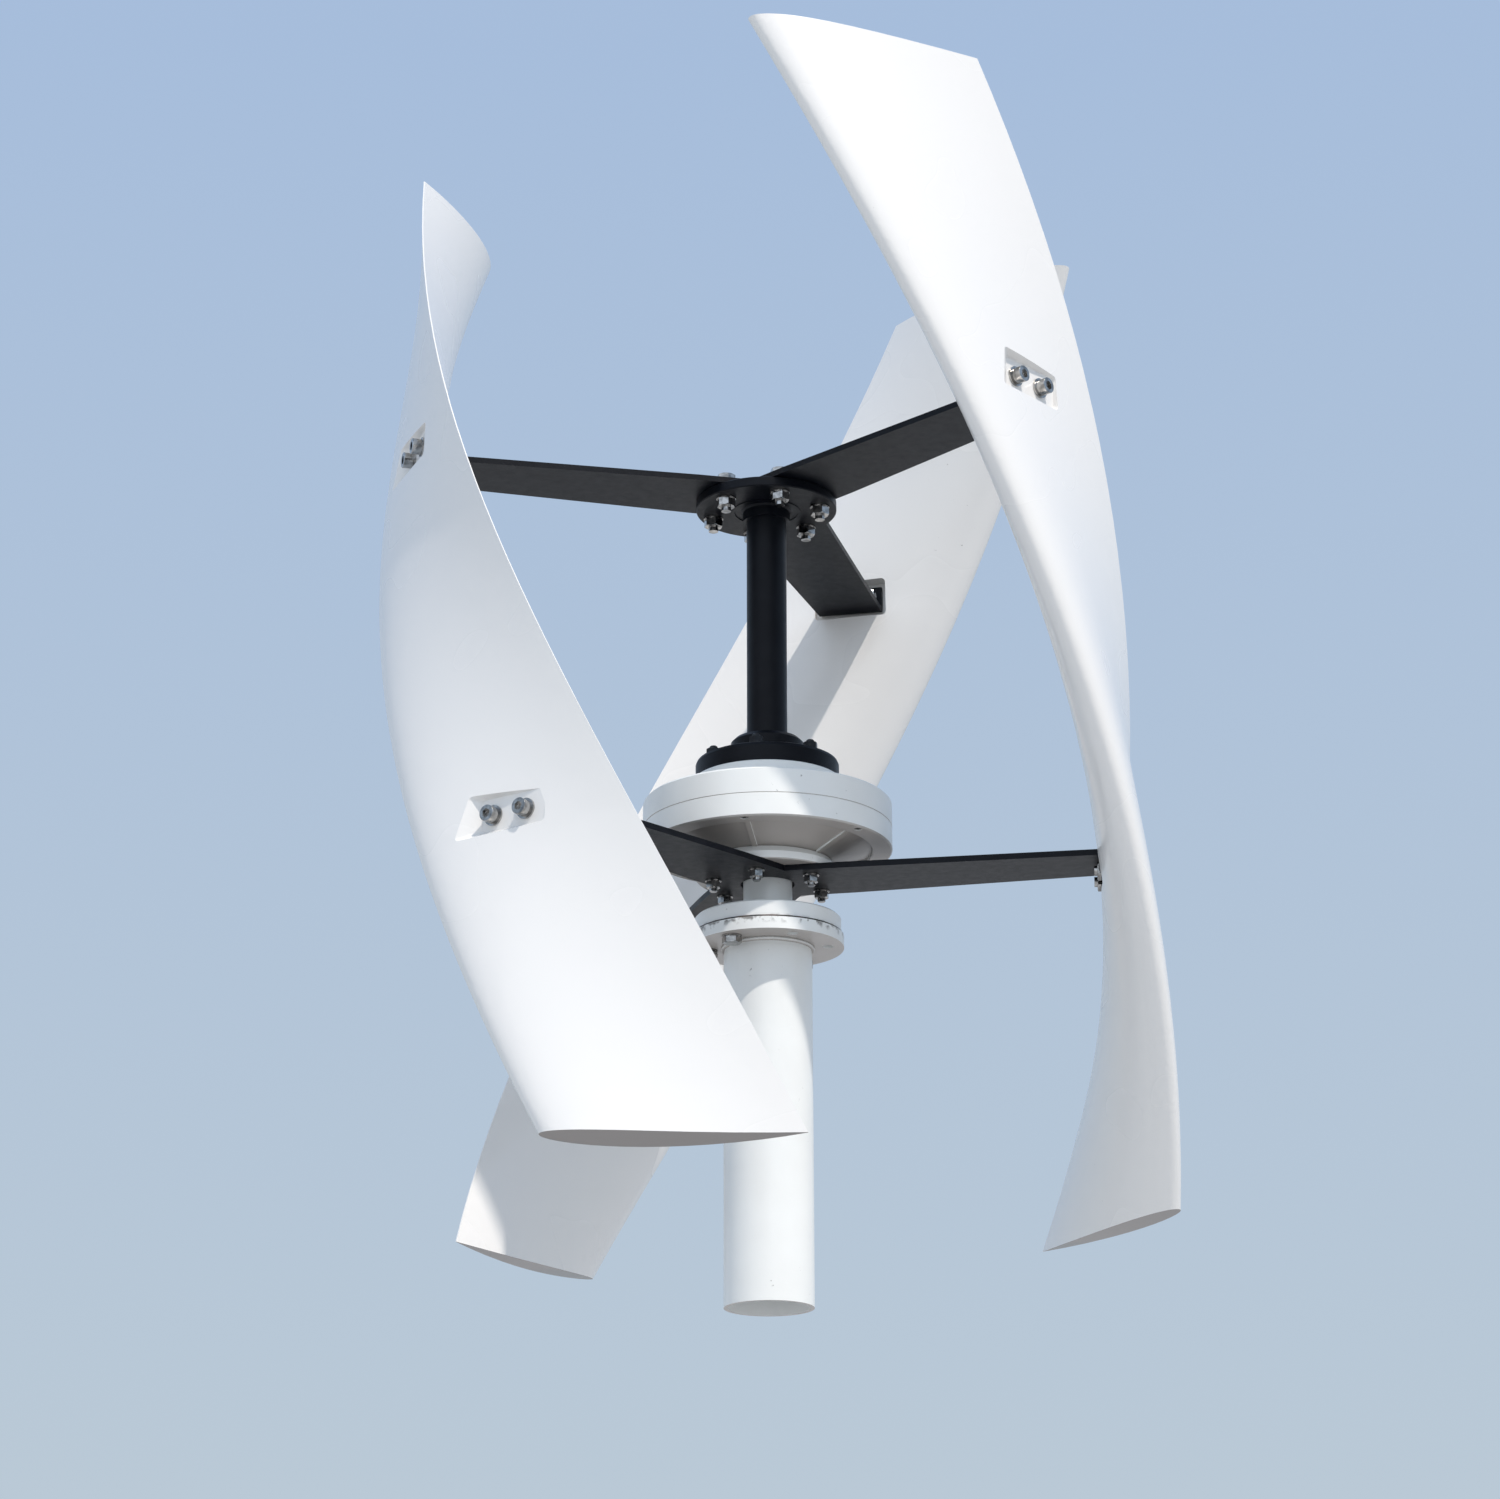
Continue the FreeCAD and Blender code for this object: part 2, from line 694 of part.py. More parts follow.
def roundedBlock(xLow, xHigh, halfWidth, zLow, zHigh):
    block = Part.makeBox(xHigh - xLow, 2 * halfWidth, zHigh - zLow, Vector(xLow, -halfWidth, zLow))
    edges = [e for e in block.Edges if abs(e.Length - (xHigh - xLow)) < 0.001]
    return block.makeFillet(cornerRadius, edges)


def pocketRing(arms, depth):
    # The screw pocket's rectangle at one depth above its floor, wider further out.
    leading = -pocketLeadingSide - depth * math.tan(math.radians(leadingDraft))
    trailing = pocketTrailingSide + depth * math.tan(math.radians(trailingDraft))
    half = pocketHalfHeight + depth * math.tan(math.radians(endDraft))
    middle = tabHoleLevel(arms) + pocketRaise
    x = arms["wall"] + depth
    return [Vector(x, leading, middle - half), Vector(x, trailing, middle - half),
            Vector(x, trailing, middle + half), Vector(x, leading, middle + half)]


def screwPocket(arms):
    # A moulded pocket with sloping walls and rounded corners.
    rings = [pocketRing(arms, depth) for depth in (0, pocketReach)]
    solid = Part.makeLoft([Part.makePolygon(ring + [ring[0]]) for ring in rings], True, True)
    slanted = [e for e in solid.Edges if e.BoundBox.XLength > pocketReach / 2]
    return solid.makeFillet(cornerRadius, slanted)


def bladeCuts(arms):
    # The outer screw pocket, the inner recess for the arm's tab, and two screw holes.
    tabLow = arms["plate"] if arms["side"] > 0 else arms["plate"] - tabHeight
    recess = roundedBlock(-foldLength, 0.05, armTipHalfWidth + recessMargin, tabLow - recessMargin,
                          tabLow + tabHeight + plateThickness + recessMargin)
    cuts = [atTip(screwPocket(arms), arms), atTip(recess, arms)]
    drill = Part.makeCylinder(m10[0] + 0.3, arms["wall"] + 2)
    for offset in (-tabHoleHalfSpacing, tabHoleHalfSpacing):
        cuts.append(alongArm(drill, arms, 0, -1, offset))
    return cuts


def blade(index):
    shares = [-0.515 + 1.015 * i / (bladeSections - 1) for i in range(bladeSections)]
    body = Part.makeLoft([bladeSection(share) for share in shares], True, False)
    body = body.common(capCylinder())
    for cut in bladeCuts(upperArms) + bladeCuts(lowerArms):
        body = body.cut(cut)
    return spun(body, index * turn / bladeCount)


def bladeFasteners(shapes, outs):
    placed = []
    for arms, shape, out in zip((upperArms, lowerArms), shapes, outs):
        for index in range(bladeCount):
            for offset in (-tabHoleHalfSpacing, tabHoleHalfSpacing):
                placed.append(alongArm(shape, arms, index, out, offset))
    return group(placed)


def bladeScrews():
    below = plateThickness + washerThickness + m10[2] + 3
    sizes = [arms["wall"] + washerThickness for arms in (upperArms, lowerArms)]
    return bladeFasteners([socketScrew(m10, out + below) for out in sizes], sizes)


def bladeScrewWashers():
    ring = washerRing(m10)
    return bladeFasteners([ring, ring], [upperArms["wall"], lowerArms["wall"]])


def bladeNutWashers():
    ring = washerRing(m10)
    out = -plateThickness - washerThickness
    return bladeFasteners([ring, ring], [out, out])


def bladeNuts():
    nut = hexNut(m10)
    out = -plateThickness - washerThickness - m10[2]
    return bladeFasteners([nut, nut], [out, out])


# Fasteners of the hubs

def hubRow(shape, angle, height):
    return group(onCircle(shape, hubBoltCircle, 6, angle + 30, height))


def upperHubBolts():
    grip = plateThickness + upperHubThickness + 2 * washerThickness
    bolt = hexBolt(m10, grip + m10[2] + 5)
    bolt.rotate(Vector(0, 0, 0), Vector(1, 0, 0), 180)
    return hubRow(bolt, upperArmAngle, upperArms["plate"] + plateThickness + washerThickness)


def upperHubWashers():
    low = upperHubBottom - washerThickness
    high = upperArms["plate"] + plateThickness
    rows = [hubRow(washerRing(m10), upperArmAngle, level) for level in (low, high)]
    return group([ring for row in rows for ring in row.Solids])


def upperHubNuts():
    return hubRow(hexNut(m10), upperArmAngle, upperHubBottom - washerThickness - m10[2])


def lowerHubStuds():
    bottom = lowerArms["plate"] - washerThickness - m8[2] - 4
    return hubRow(stud(m8, lowerHubTop - 4 - bottom), lowerArmAngle, bottom)


def lowerHubWashers():
    return hubRow(washerRing(m8), lowerArmAngle, lowerArms["plate"] - washerThickness)


def lowerHubNuts():
    return hubRow(hexNut(m8), lowerArmAngle, lowerArms["plate"] - washerThickness - m8[2])


def baseStuds():
    top = casingBossTop + baseFlangeThickness + washerThickness + m8[2] + 3
    return hubRow(stud(m8, top - baseStudBottom), lowerArmAngle, baseStudBottom)


def baseNuts():
    return hubRow(hexNut(m8), lowerArmAngle, casingBossTop + baseFlangeThickness + washerThickness)


def baseWashers():
    return hubRow(washerRing(m8), lowerArmAngle, casingBossTop + baseFlangeThickness)


lowerPlateLevel = statorBottom - airGap - magnetThickness - magnetPlateThickness
upperPlateLevel = statorBottom + statorThickness + airGap + magnetThickness

os.makedirs("parts", exist_ok=True)

save("mast_tube", mastTube())
save("mast_weld", mastWeld())
save("mast_flange", mastFlange())
save("spindle", spindle())
save("flange_bolts", flangeBolts())
save("flange_washers", flangeWashers())
save("spindle_nut", spindleNut())
save("stator_disc", statorDisc())
save("stator_coils", statorCoils())
save("stator_clamp", statorClamp())
save("stator_screws", statorScrews())
for name, bearing in (("lower", lowerBearing), ("upper", upperBearing)):
    save(name + "_bearing_inner_ring", innerRing(bearing))
    save(name + "_bearing_outer_ring", outerRing(bearing))
    save(name + "_bearing_balls", balls(bearing))
    save(name + "_bearing_cage", cage(bearing))
    save(name + "_bearing_shields", shields(bearing))
save("lower_cover", lowerCover())
save("upper_cover", upperCover())
save("cover_screws", coverScrews())
save("lower_magnet_plate", coverPillarGap(magnetPlate(lowerPlateLevel)))
save("upper_magnet_plate", coverPillarGap(magnetPlate(upperPlateLevel)))
save("lower_magnets", magnets(lowerPlateLevel + magnetPlateThickness))
save("upper_magnets", magnets(upperPlateLevel - magnetThickness))
save("base_flange", baseFlange())
save("base_studs", baseStuds())
save("base_nuts", baseNuts())
save("base_washers", baseWashers())
save("rotor_tube", rotorTube())
save("upper_hub", upperHub())
save("upper_spider", spider(upperArms, 0, m10[0]))
save("lower_spider", spider(lowerArms, lowerSpiderBore, m8[0]))
save("upper_hub_bolts", upperHubBolts())
save("upper_hub_washers", upperHubWashers())
save("upper_hub_nuts", upperHubNuts())
save("lower_hub_studs", lowerHubStuds())
save("lower_hub_washers", lowerHubWashers())
save("lower_hub_nuts", lowerHubNuts())
for index in range(bladeCount):
    save("blade_" + str(index + 1), blade(index))
save("blade_screws", bladeScrews())
save("blade_screw_washers", bladeScrewWashers())
save("blade_nut_washers", bladeNutWashers())
save("blade_nuts", bladeNuts())
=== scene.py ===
import math
import json
import random
import bpy
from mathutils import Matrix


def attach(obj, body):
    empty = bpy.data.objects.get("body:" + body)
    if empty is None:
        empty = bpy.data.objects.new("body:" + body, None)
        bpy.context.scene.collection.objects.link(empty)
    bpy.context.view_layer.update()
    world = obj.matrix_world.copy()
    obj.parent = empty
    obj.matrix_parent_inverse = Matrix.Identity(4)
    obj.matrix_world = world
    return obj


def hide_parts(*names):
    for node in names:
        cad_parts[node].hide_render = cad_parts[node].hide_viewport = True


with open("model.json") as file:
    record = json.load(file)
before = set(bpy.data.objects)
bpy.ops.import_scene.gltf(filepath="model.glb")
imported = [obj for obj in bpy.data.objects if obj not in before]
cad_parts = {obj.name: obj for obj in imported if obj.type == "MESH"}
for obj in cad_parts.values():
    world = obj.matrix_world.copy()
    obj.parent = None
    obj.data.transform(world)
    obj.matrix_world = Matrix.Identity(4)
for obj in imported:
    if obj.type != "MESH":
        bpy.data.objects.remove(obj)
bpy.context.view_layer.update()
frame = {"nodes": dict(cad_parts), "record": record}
nodes = frame["nodes"]
print("frame loaded:", len(nodes), "nodes")


# Shader maths: a Wire is one socket that can be used in sums

class Wire:
    def __init__(self, tree, socket=None):
        self.tree = tree
        self.socket = socket

    def node(self, kind, settings, inputs, output=0):
        made = self.tree.nodes.new(kind)
        for name, value in settings.items():
            if name == "stops":
                fillRamp(made.color_ramp, value)
            else:
                setattr(made, name, value)
        for key, value in inputs.items():
            if isinstance(value, Wire):
                self.tree.links.new(value.socket, made.inputs[key])
            else:
                made.inputs[key].default_value = value
        return Wire(self.tree, made.outputs[output])

    def maths(self, how, first, second):
        return self.node("ShaderNodeMath", {"operation": how}, {0: first, 1: second})

    def __add__(self, other):
        return self.maths("ADD", self, other)

    def __radd__(self, other):
        return self.maths("ADD", other, self)

    def __sub__(self, other):
        return self.maths("SUBTRACT", self, other)

    def __rsub__(self, other):
        return self.maths("SUBTRACT", other, self)

    def __mul__(self, other):
        return self.maths("MULTIPLY", self, other)

    def __rmul__(self, other):
        return self.maths("MULTIPLY", other, self)

    def clamp(self, low, high):
        return self.maths("MINIMUM", self.maths("MAXIMUM", self, low), high)


def fillRamp(ramp, stops):
    while len(ramp.elements) < len(stops):
        ramp.elements.new(0.5)
    for element, (place, shade) in zip(ramp.elements, stops):
        element.position = place
        element.color = (shade, shade, shade, 1)


def objectPlace(wire):
    return wire.node("ShaderNodeTexCoord", {}, {}, "Object")


def noise(wire, scale, detail):
    sockets = {"Vector": objectPlace(wire), "Scale": scale, "Detail": detail}
    return wire.node("ShaderNodeTexNoise", {}, sockets, "Fac")


def ramp(wire, value, *stops):
    return wire.node("ShaderNodeValToRGB", {"stops": stops}, {"Fac": value}, "Color")


def patches(wire, look):
    # soft-edged patches: scale, detail, where they begin and where they are full
    scale, detail, begin, full = look
    return ramp(wire, noise(wire, scale, detail), (begin, 0.0), (full, 1.0))


def blendColour(wire, share, first, second):
    return wire.node("ShaderNodeMix", {"data_type": "RGBA"}, {0: share, 6: first, 7: second}, 2)


def unevenGloss(wire, look):
    # roughness that strays evenly to both sides of the finish's own gloss
    scale, detail, spread = look["glossPatches"]
    return noise(wire, scale, detail) * spread + (look["gloss"] - spread / 2)


def bump(wire, height, relief):
    strength, distance = relief
    sockets = {"Height": height, "Strength": strength, "Distance": distance}
    return wire.node("ShaderNodeBump", {}, sockets, "Normal")


def near(wire, centre, reach):
    # 1 at the height called centre, falling to 0 at reach above and below it
    height = wire.node("ShaderNodeSeparateXYZ", {}, {0: objectPlace(wire)}, "Z")
    away = wire.node("ShaderNodeMath", {"operation": "ABSOLUTE"}, {0: height - centre})
    return (1.0 - away * (1.0 / reach)).clamp(0.0, 1.0)


def downward(wire):
    # 1 on faces that look straight down, -1 on those that look up
    normal = wire.node("ShaderNodeNewGeometry", {}, {}, "True Normal")
    return wire.node("ShaderNodeSeparateXYZ", {}, {0: normal}, "Z") * -1.0


def surface(name, fixed, build):
    made = bpy.data.materials.new(name)
    made.use_nodes = True
    shader = made.node_tree.nodes["Principled BSDF"]
    for key, value in fixed.items():
        shader.inputs[key].default_value = value
    wire = Wire(made.node_tree)
    for key, value in build(wire).items():
        made.node_tree.links.new(value.socket, shader.inputs[key])
    return made


# Glossy white gel coat of the blades

gelCoat = {
    "white": (0.84, 0.828, 0.805, 1),
    "aged": (0.815, 0.80, 0.775, 1),
    "agedCloud": (2.6, 1.0),  # scale and detail
    "speck": (0.16, 0.14, 0.12, 1),
    "specks": (240.0, 2.0, 0.76, 0.80),
    "speckyPlaces": (7.0, 3.0, 0.60, 0.68),
    "speckShare": 0.7,
    # painted shade: the blades' downward-looking cut ends get a dark warm tint that stands in for shade and
    # warm floor bounce
    "shadedCutEnd": (0.15, 0.125, 0.11, 1),
    "shadedCutEndShare": 0.85,
    "cutEndRough": 0.3,
    "footHeight": 0.086,  # the blades' lower end, metres
    "footReach": 0.05,
    "footSharpness": 3.0,
    "footTilt": 0.62,  # how far down a face has to look to belong to the cut end
    "footBlend": 0.1,
    "gloss": 0.27,
    "glossPatches": (9.0, 1.0, 0.05),
    "mouldRipple": (3.5, 1.0),
    "fineRipple": (900.0, 1.0, 0.001),
    "relief": (0.10, 0.001),
}


# Painted shade: faces near the blades' foot that look down, where the cut ends lie in shade
def shadedCutEndMask(wire):
    low = near(wire, gelCoat["footHeight"], gelCoat["footReach"]) * gelCoat["footSharpness"]
    under = (downward(wire) - gelCoat["footTilt"]).clamp(0.0, gelCoat["footBlend"])
    return low.clamp(0.0, 1.0) * (under * (1.0 / gelCoat["footBlend"]))


def gelCoatWires(wire):
    colour = blendColour(wire, noise(wire, *gelCoat["agedCloud"]), gelCoat["white"], gelCoat["aged"])
    specks = patches(wire, gelCoat["specks"]) * patches(wire, gelCoat["speckyPlaces"])
    colour = blendColour(wire, specks * gelCoat["speckShare"], colour, gelCoat["speck"])
    # painted shade on the cut ends, which also makes them rougher
    shadedCutEnd = shadedCutEndMask(wire)
    colour = blendColour(wire, shadedCutEnd.clamp(0.0, gelCoat["shadedCutEndShare"]), colour, gelCoat["shadedCutEnd"])
    scale, detail, height = gelCoat["fineRipple"]
    ripple = noise(wire, *gelCoat["mouldRipple"]) + noise(wire, scale, detail) * height
    return {"Base Color": colour, "Roughness": unevenGloss(wire, gelCoat) + shadedCutEnd * gelCoat["cutEndRough"],
            "Normal": bump(wire, ripple, gelCoat["relief"])}


# Pale grey paint of the castings, flanges and mast

palePaint = {
    "paint": (0.85, 0.865, 0.85, 1),
    "dusty": (0.78, 0.785, 0.765, 1),
    "dust": (16.0, 4.0, 0.35, 0.75),
    "dustShare": 0.6,
    # painted shade: a dark warm tint on faces that look down, standing in for shade lit only by the floor's
    # bounce
    "underShade": (0.36, 0.325, 0.295, 1),  # on faces that look down
    "underShadeSlope": 1.6,
    "underShadeFrom": 0.30,
    "underShadeShare": 0.9,
    "chip": (0.18, 0.17, 0.155, 1),
    "chips": (260.0, 3.0, 0.70, 0.75),
    "chippedPlaces": (14.0, 3.0, 0.52, 0.62),
    "chipShare": 0.6,
    "jointHeight": 0.3695,  # dirt beside the bolted joint, metres
    "jointReach": 0.006,
    "jointDirt": (120.0, 4.0, 0.49, 0.60),
    "jointShare": 0.9,
    "gloss": 0.33,
    "glossPatches": (60.0, 3.0, 0.16),
    "finePeel": (700.0, 2.0, 0.25),
    "widePeel": (90.0, 2.0, 0.35),
    "relief": (0.22, 0.0006),
}


def twoGrains(wire, first, second):
    return noise(wire, *first[:2]) * first[2] + noise(wire, *second[:2]) * second[2]


def palePaintWires(wire):
    dust = patches(wire, palePaint["dust"]) * palePaint["dustShare"]
    colour = blendColour(wire, dust, palePaint["paint"], palePaint["dusty"])
    # Painted shade: faces that look down are darkened and warmed as if lit only by the floor's bounce
    under = (downward(wire) * palePaint["underShadeSlope"] - palePaint["underShadeFrom"]).clamp(0.0, 1.0)
    colour = blendColour(wire, under * palePaint["underShadeShare"], colour, palePaint["underShade"])
    byJoint = near(wire, palePaint["jointHeight"], palePaint["jointReach"])
    dirt = byJoint * patches(wire, palePaint["jointDirt"])
    colour = blendColour(wire, dirt * palePaint["jointShare"], colour, palePaint["chip"])
    chips = patches(wire, palePaint["chips"]) * patches(wire, palePaint["chippedPlaces"])
    colour = blendColour(wire, chips * palePaint["chipShare"], colour, palePaint["chip"])
    peel = twoGrains(wire, palePaint["finePeel"], palePaint["widePeel"])
    return {"Base Color": colour, "Roughness": unevenGloss(wire, palePaint),
            "Normal": bump(wire, peel, palePaint["relief"])}


# Black powder coat of the arms, tube, flange and hub

powderCoat = {
    "black": (0.0022, 0.0030, 0.0056, 1),
    "rubbed": (0.0052, 0.0064, 0.0095, 1),
    "rubs": (28.0, 5.0, 0.38, 0.72),
    "gloss": 0.40,
    "glossPatches": (120.0, 4.0, 0.18),
    "fineGrain": (1500.0, 2.0, 0.7),
    "wideGrain": (380.0, 2.0, 0.5),
    "relief": (0.35, 0.0004),
}


def powderCoatWires(wire):
    colour = blendColour(wire, patches(wire, powderCoat["rubs"]), powderCoat["black"], powderCoat["rubbed"])
    grain = twoGrains(wire, powderCoat["fineGrain"], powderCoat["wideGrain"])
    return {"Base Color": colour, "Roughness": unevenGloss(wire, powderCoat),
            "Normal": bump(wire, grain, powderCoat["relief"])}


# Plain mottled finishes share one recipe

def mottled(look):
    def build(wire):
        colour = blendColour(wire, patches(wire, look["mottle"]), look["main"], look["second"])
        return {"Base Color": colour, "Roughness": unevenGloss(wire, look),
                "Normal": bump(wire, noise(wire, look["grain"], 2.0), look["relief"])}
    return build


# Stainless bolts, screws, washers and nuts
stainless = {
    "main": (0.50, 0.49, 0.475, 1), "second": (0.13, 0.127, 0.122, 1), "mottle": (160.0, 4.0, 0.40, 0.75),
    "gloss": 0.15, "glossPatches": (420.0, 3.0, 0.2), "grain": 900.0, "relief": (0.15, 0.0003),
}

# Blackened nuts and studs on the base flange
blackened = {
    "main": (0.018, 0.020, 0.024, 1), "second": (0.060, 0.062, 0.066, 1), "mottle": (150.0, 4.0, 0.45, 0.78),
    "gloss": 0.34, "glossPatches": (380.0, 3.0, 0.2), "grain": 900.0, "relief": (0.15, 0.0003),
}

# Ground steel of bearings, ring nut and magnet plates
groundSteel = {
    "main": (0.50, 0.50, 0.51, 1), "second": (0.30, 0.29, 0.27, 1), "mottle": (70.0, 4.0, 0.40, 0.70),
    "gloss": 0.28, "glossPatches": (300.0, 3.0, 0.2), "grain": 1100.0, "relief": (0.12, 0.0002),
}

# Inside the generator: nylon cages, cast resin, copper coils, nickelled magnets
insideGrain = {
    "mottle": (110.0, 4.0, 0.35, 0.70), "glossPatches": (260.0, 3.0, 0.18), "grain": 800.0,
    "relief": (0.2, 0.0003),
}
nylon = {"main": (0.60, 0.52, 0.36, 1), "second": (0.50, 0.42, 0.28, 1), "gloss": 0.45, **insideGrain}
resin = {"main": (0.055, 0.085, 0.050, 1), "second": (0.085, 0.110, 0.070, 1), "gloss": 0.38, **insideGrain}
copper = {"main": (0.62, 0.26, 0.13, 1), "second": (0.46, 0.17, 0.08, 1), "gloss": 0.32, **insideGrain}
nickel = {"main": (0.62, 0.60, 0.56, 1), "second": (0.48, 0.46, 0.42, 1), "gloss": 0.25, **insideGrain}


# One finish for each material slot of the record

finishes = {
    "white_gelcoat": surface("gelCoat", {"Coat Weight": 0.35, "Coat Roughness": 0.06}, gelCoatWires),
    "light_paint": surface("palePaint", {"Coat Weight": 0.15, "Coat Roughness": 0.15}, palePaintWires),
    "black_coat": surface("powderCoat", {"Specular IOR Level": 0.16}, powderCoatWires),
    "stainless": surface("stainless", {"Metallic": 1.0}, mottled(stainless)),
    "bearing_steel": surface("groundSteel", {"Metallic": 1.0}, mottled(groundSteel)),
    "cage_nylon": surface("nylon", {"Metallic": 0.0}, mottled(nylon)),
    "stator_resin": surface("resin", {"Metallic": 0.0}, mottled(resin)),
    "copper_winding": surface("copper", {"Metallic": 1.0}, mottled(copper)),
    "magnet_nickel": surface("nickel", {"Metallic": 1.0}, mottled(nickel)),
}

blackFixings = ("base_studs", "base_nuts", "base_washers")
oxide = surface("blackened", {"Metallic": 0.6}, mottled(blackened))

for part in frame["record"]["subparts"]:
    piece = nodes[part["node"]]
    finish = oxide if part["node"] in blackFixings else finishes[part["material_slot"]]
    piece.data.materials.clear()
    piece.data.materials.append(finish)
print("finishes made:", len(finishes) + 1)


# Small rounded edges on the machined, folded and moulded pieces, in metres

edgeRounding = {
    "mast_flange": 0.0012, "spindle": 0.0008, "lower_cover": 0.0012, "upper_cover": 0.0012,
    "base_flange": 0.0012, "upper_hub": 0.0010, "upper_spider": 0.0006, "lower_spider": 0.0006,
    "flange_bolts": 0.0004, "base_nuts": 0.0004, "upper_hub_bolts": 0.0004, "upper_hub_nuts": 0.0004,
    "lower_hub_nuts": 0.0004, "blade_screws": 0.0004, "blade_nuts": 0.0004,
    "blade_1": 0.0016, "blade_2": 0.0016, "blade_3": 0.0016,
}

roundingSteps = 2
sharpEdge = 35  # degrees: edges that turn by more than this are rounded

for name, width in edgeRounding.items():
    rounding = nodes[name].modifiers.new("rounding", "BEVEL")
    rounding.width = width
    rounding.segments = roundingSteps
    rounding.limit_method = "ANGLE"
    rounding.angle_limit = math.radians(sharpEdge)
    rounding.harden_normals = True
print("edges rounded:", len(edgeRounding))


# Round beads, in millimetres: the weld under the mast's flange, and the dark seal in the bolted joint

weldBead = {
    "radius": 44.6, "size": 4.0, "height": 357.2, "ripples": 118, "ripple": 0.28, "wander": 0.35,
    "stepsRound": 1180, "faces": 14,
}
jointSeal = {
    "radius": 73.8, "size": 2.3, "height": 371.8, "ripples": 31, "ripple": 0.10, "wander": 0.18,
    "stepsRound": 620, "faces": 10,
}
metres = 0.001  # in a millimetre
waveCount = 5
waveTurns = (3, 17)  # fewest and most waves in one turn
heightWander = 0.4  # share of the wander that lifts the bead


def beadCorners(name, bead):
    chance = random.Random(name)
    waves = [(chance.randint(*waveTurns), chance.uniform(0, 2 * math.pi)) for _ in range(waveCount)]
    corners = []
    for step in range(bead["stepsRound"]):
        turn = 2 * math.pi * step / bead["stepsRound"]
        lump = abs(math.sin(turn * bead["ripples"] / 2)) * bead["ripple"]
        sway = sum(math.sin(count * turn + start) for count, start in waves) / waveCount * bead["wander"]
        size = bead["size"] / 2 + lump - bead["ripple"]
        for face in range(bead["faces"]):
            tilt = 2 * math.pi * face / bead["faces"]
            out = (bead["radius"] + size * math.cos(tilt)) * metres
            up = (bead["height"] + sway * heightWander + size * math.sin(tilt)) * metres
            corners.append((out * math.cos(turn), out * math.sin(turn), up))
    return corners


def beadQuads(bead):
    steps = bead["stepsRound"]
    faces = bead["faces"]
    quads = []
    for step in range(steps):
        row = step * faces
        nextRow = (step + 1) % steps * faces
        for face in range(faces):
            beside = (face + 1) % faces
            quads.append((row + face, nextRow + face, nextRow + beside, row + beside))
    return quads


def roundBead(name, bead, finish):
    quads = beadQuads(bead)
    mesh = bpy.data.meshes.new(name)
    mesh.from_pydata(beadCorners(name, bead), [], quads)
    mesh.polygons.foreach_set("use_smooth", [True] * len(quads))
    mesh.materials.append(finish)
    piece = bpy.data.objects.new(name, mesh)
    bpy.context.scene.collection.objects.link(piece)
    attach(piece, "mast")
    return piece


# Perished black sealant with rust stains

sealant = {
    "black": (0.020, 0.019, 0.018, 1),
    "rusty": (0.075, 0.045, 0.028, 1),
    "rust": (85.0, 4.0, 0.45, 0.68),
    "gloss": 0.55,
    "glossPatches": (300.0, 3.0, 0.2),
    "grain": (700.0, 3.0),
    "relief": (0.3, 0.0004),
}


def sealantWires(wire):
    colour = blendColour(wire, patches(wire, sealant["rust"]), sealant["black"], sealant["rusty"])
    return {"Base Color": colour, "Roughness": unevenGloss(wire, sealant),
            "Normal": bump(wire, noise(wire, *sealant["grain"]), sealant["relief"])}


bead = roundBead("weldBead", weldBead, finishes["light_paint"])
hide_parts("mast_weld")
seal = roundBead("jointSeal", jointSeal, surface("jointSeal", {}, sealantWires))
print("weld bead and joint seal drawn")


# Studio: pale floor, soft sky, one sun-like key light and a broad weak fill

studio = {
    "floorSize": 90.0,
    "floorLevel": -1.25,
    "floorPale": (0.56, 0.545, 0.52, 1),
    "floorWorn": (0.50, 0.49, 0.475, 1),
    "floorWear": (1.3, 3.0, 0.35, 0.70),
    "floorRough": 0.7,
    "skyLow": (0.50, 0.59, 0.67, 1),
    "skyHigh": (0.385, 0.51, 0.71, 1),
    "skyFrom": 0.10,  # height at which the sky starts to deepen, and how fast it does
    "skyRate": 2.6,
    "skyPower": 1.0,
}

# Turns, heights above the floor and softness in degrees
keyLamp = {"turn": 33.0, "height": 53.0, "power": 2.9, "soft": 1.2, "colour": (1.0, 0.925, 0.845)}
fillLamp = {"turn": -12.0, "height": 24.0, "power": 0.42, "soft": 70.0, "colour": (1.0, 0.985, 0.955)}


def floorWires(wire):
    wear = patches(wire, studio["floorWear"])
    return {"Base Color": blendColour(wire, wear, studio["floorPale"], studio["floorWorn"])}


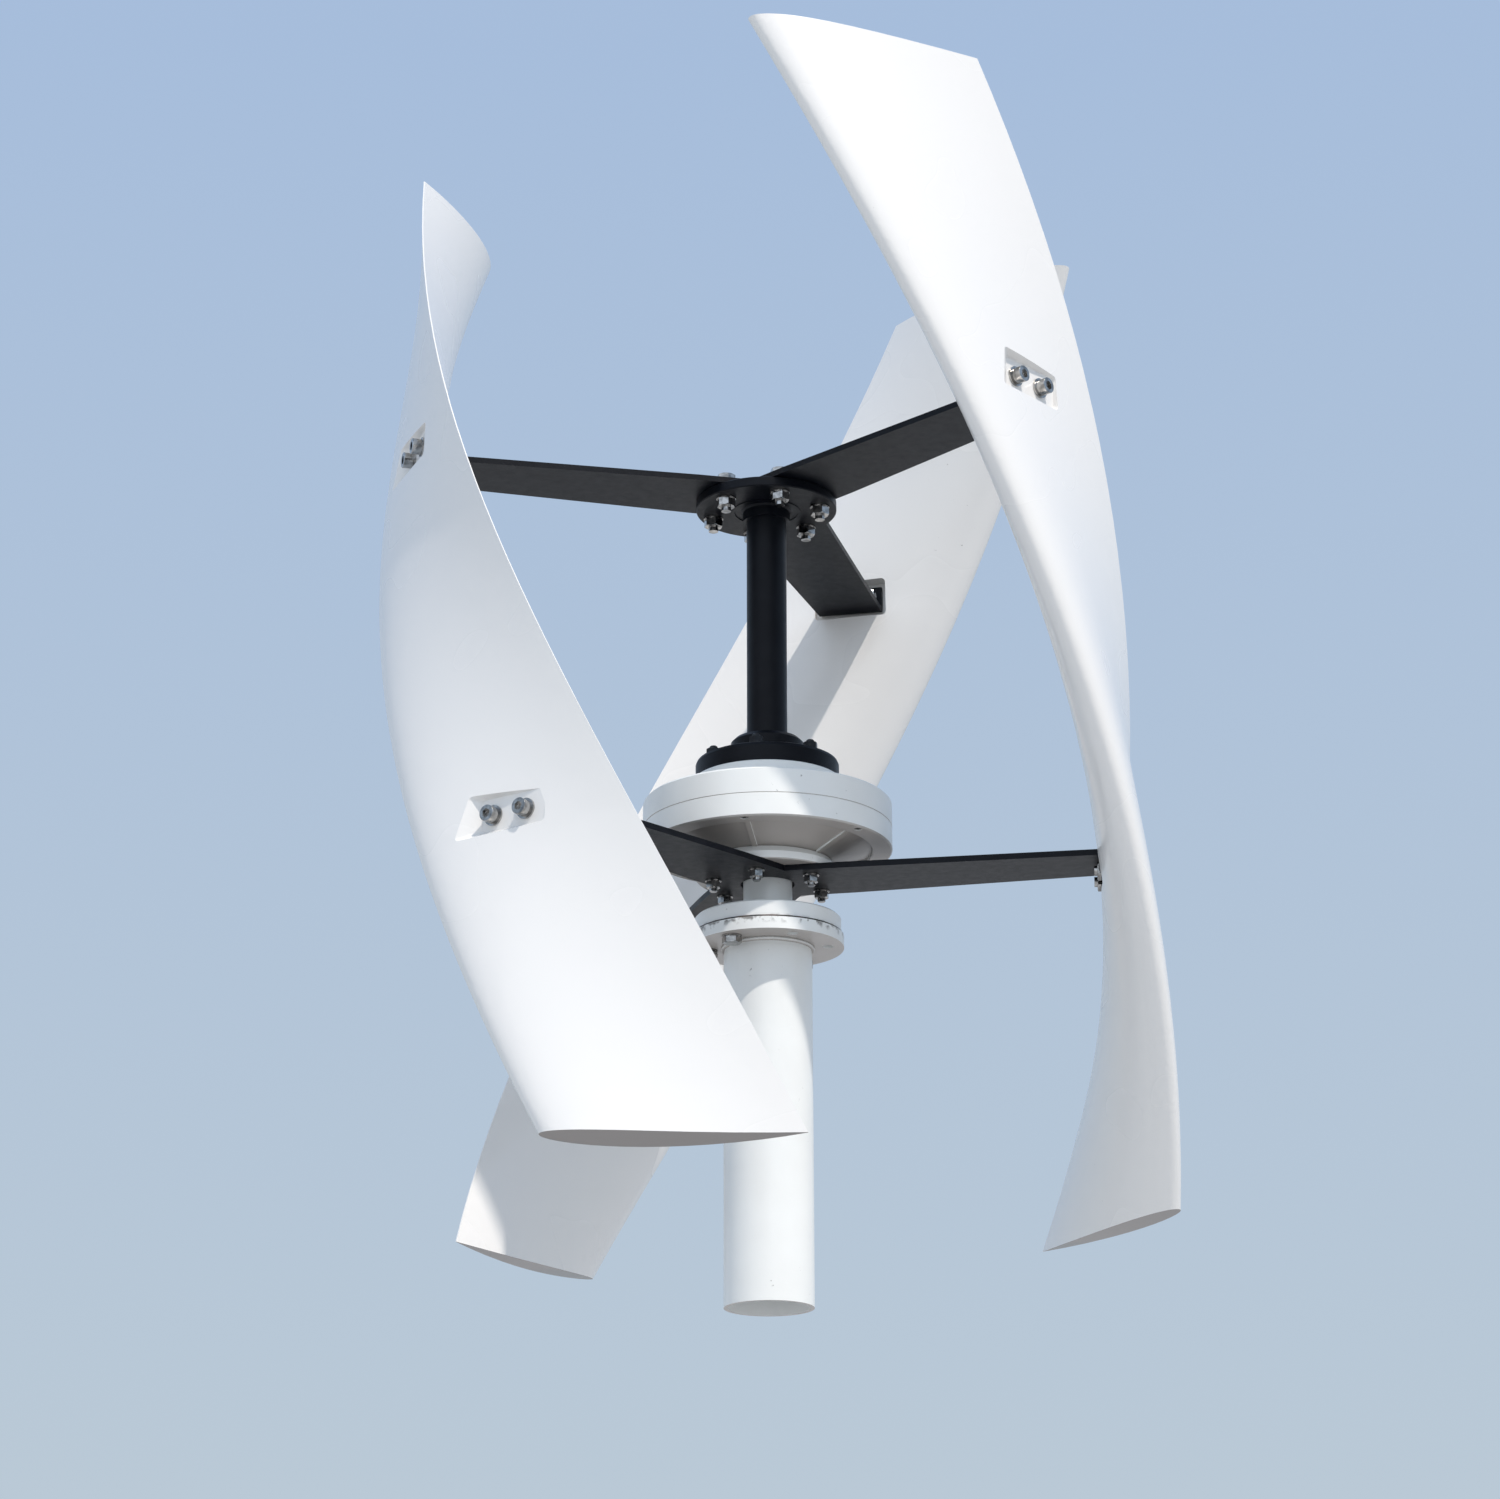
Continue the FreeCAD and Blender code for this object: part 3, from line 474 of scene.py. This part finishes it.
def makeFloor():
    half = studio["floorSize"] / 2
    mesh = bpy.data.meshes.new("floor")
    corners = [(x * half, y * half, studio["floorLevel"]) for x, y in ((-1, -1), (1, -1), (1, 1), (-1, 1))]
    mesh.from_pydata(corners, [], [(0, 1, 2, 3)])
    mesh.materials.append(surface("floorPaint", {"Roughness": studio["floorRough"]}, floorWires))
    floor = bpy.data.objects.new("floor", mesh)
    bpy.context.scene.collection.objects.link(floor)


def makeSky():
    world = bpy.data.worlds.new("sky")
    world.use_nodes = True
    bpy.context.scene.world = world
    wire = Wire(world.node_tree)
    spot = wire.node("ShaderNodeTexCoord", {}, {}, "Generated")
    height = wire.node("ShaderNodeSeparateXYZ", {}, {0: spot}, "Z")
    share = ((height - studio["skyFrom"]) * studio["skyRate"]).clamp(0.0, 1.0)
    colour = blendColour(wire, share, studio["skyLow"], studio["skyHigh"])
    back = world.node_tree.nodes["Background"]
    back.inputs["Strength"].default_value = studio["skyPower"]
    world.node_tree.links.new(colour.socket, back.inputs["Color"])


def makeLamp(name, look):
    light = bpy.data.lights.new(name, "SUN")
    light.energy = look["power"]
    light.color = look["colour"]
    light.angle = math.radians(look["soft"])
    lamp = bpy.data.objects.new(name, light)
    lamp.rotation_euler = (math.radians(90 - look["height"]), 0, math.radians(look["turn"]))
    bpy.context.scene.collection.objects.link(lamp)


# Camera: low and far in front, looking up at the rotor

view = {
    "place": (0.0, -3.652, -0.665),
    "up": 18.65,  # degrees, as are turn and roll
    "turn": 0.31,
    "roll": 0.11,
    "lens": 91.6,
    "sensor": 36.0,
    "farthest": 100.0,
}


def makeCamera():
    data = bpy.data.cameras.new("camera")
    data.lens = view["lens"]
    data.sensor_width = view["sensor"]
    data.clip_end = view["farthest"]
    camera = bpy.data.objects.new("camera", data)
    camera.location = view["place"]
    camera.rotation_euler = [math.radians(a) for a in (90 + view["up"], view["roll"], view["turn"])]
    bpy.context.scene.collection.objects.link(camera)
    bpy.context.scene.camera = camera


makeFloor()
makeSky()
makeLamp("key", keyLamp)
makeLamp("fill", fillLamp)
makeCamera()
bpy.context.scene.view_settings.view_transform = "Standard"
print("studio and camera ready")
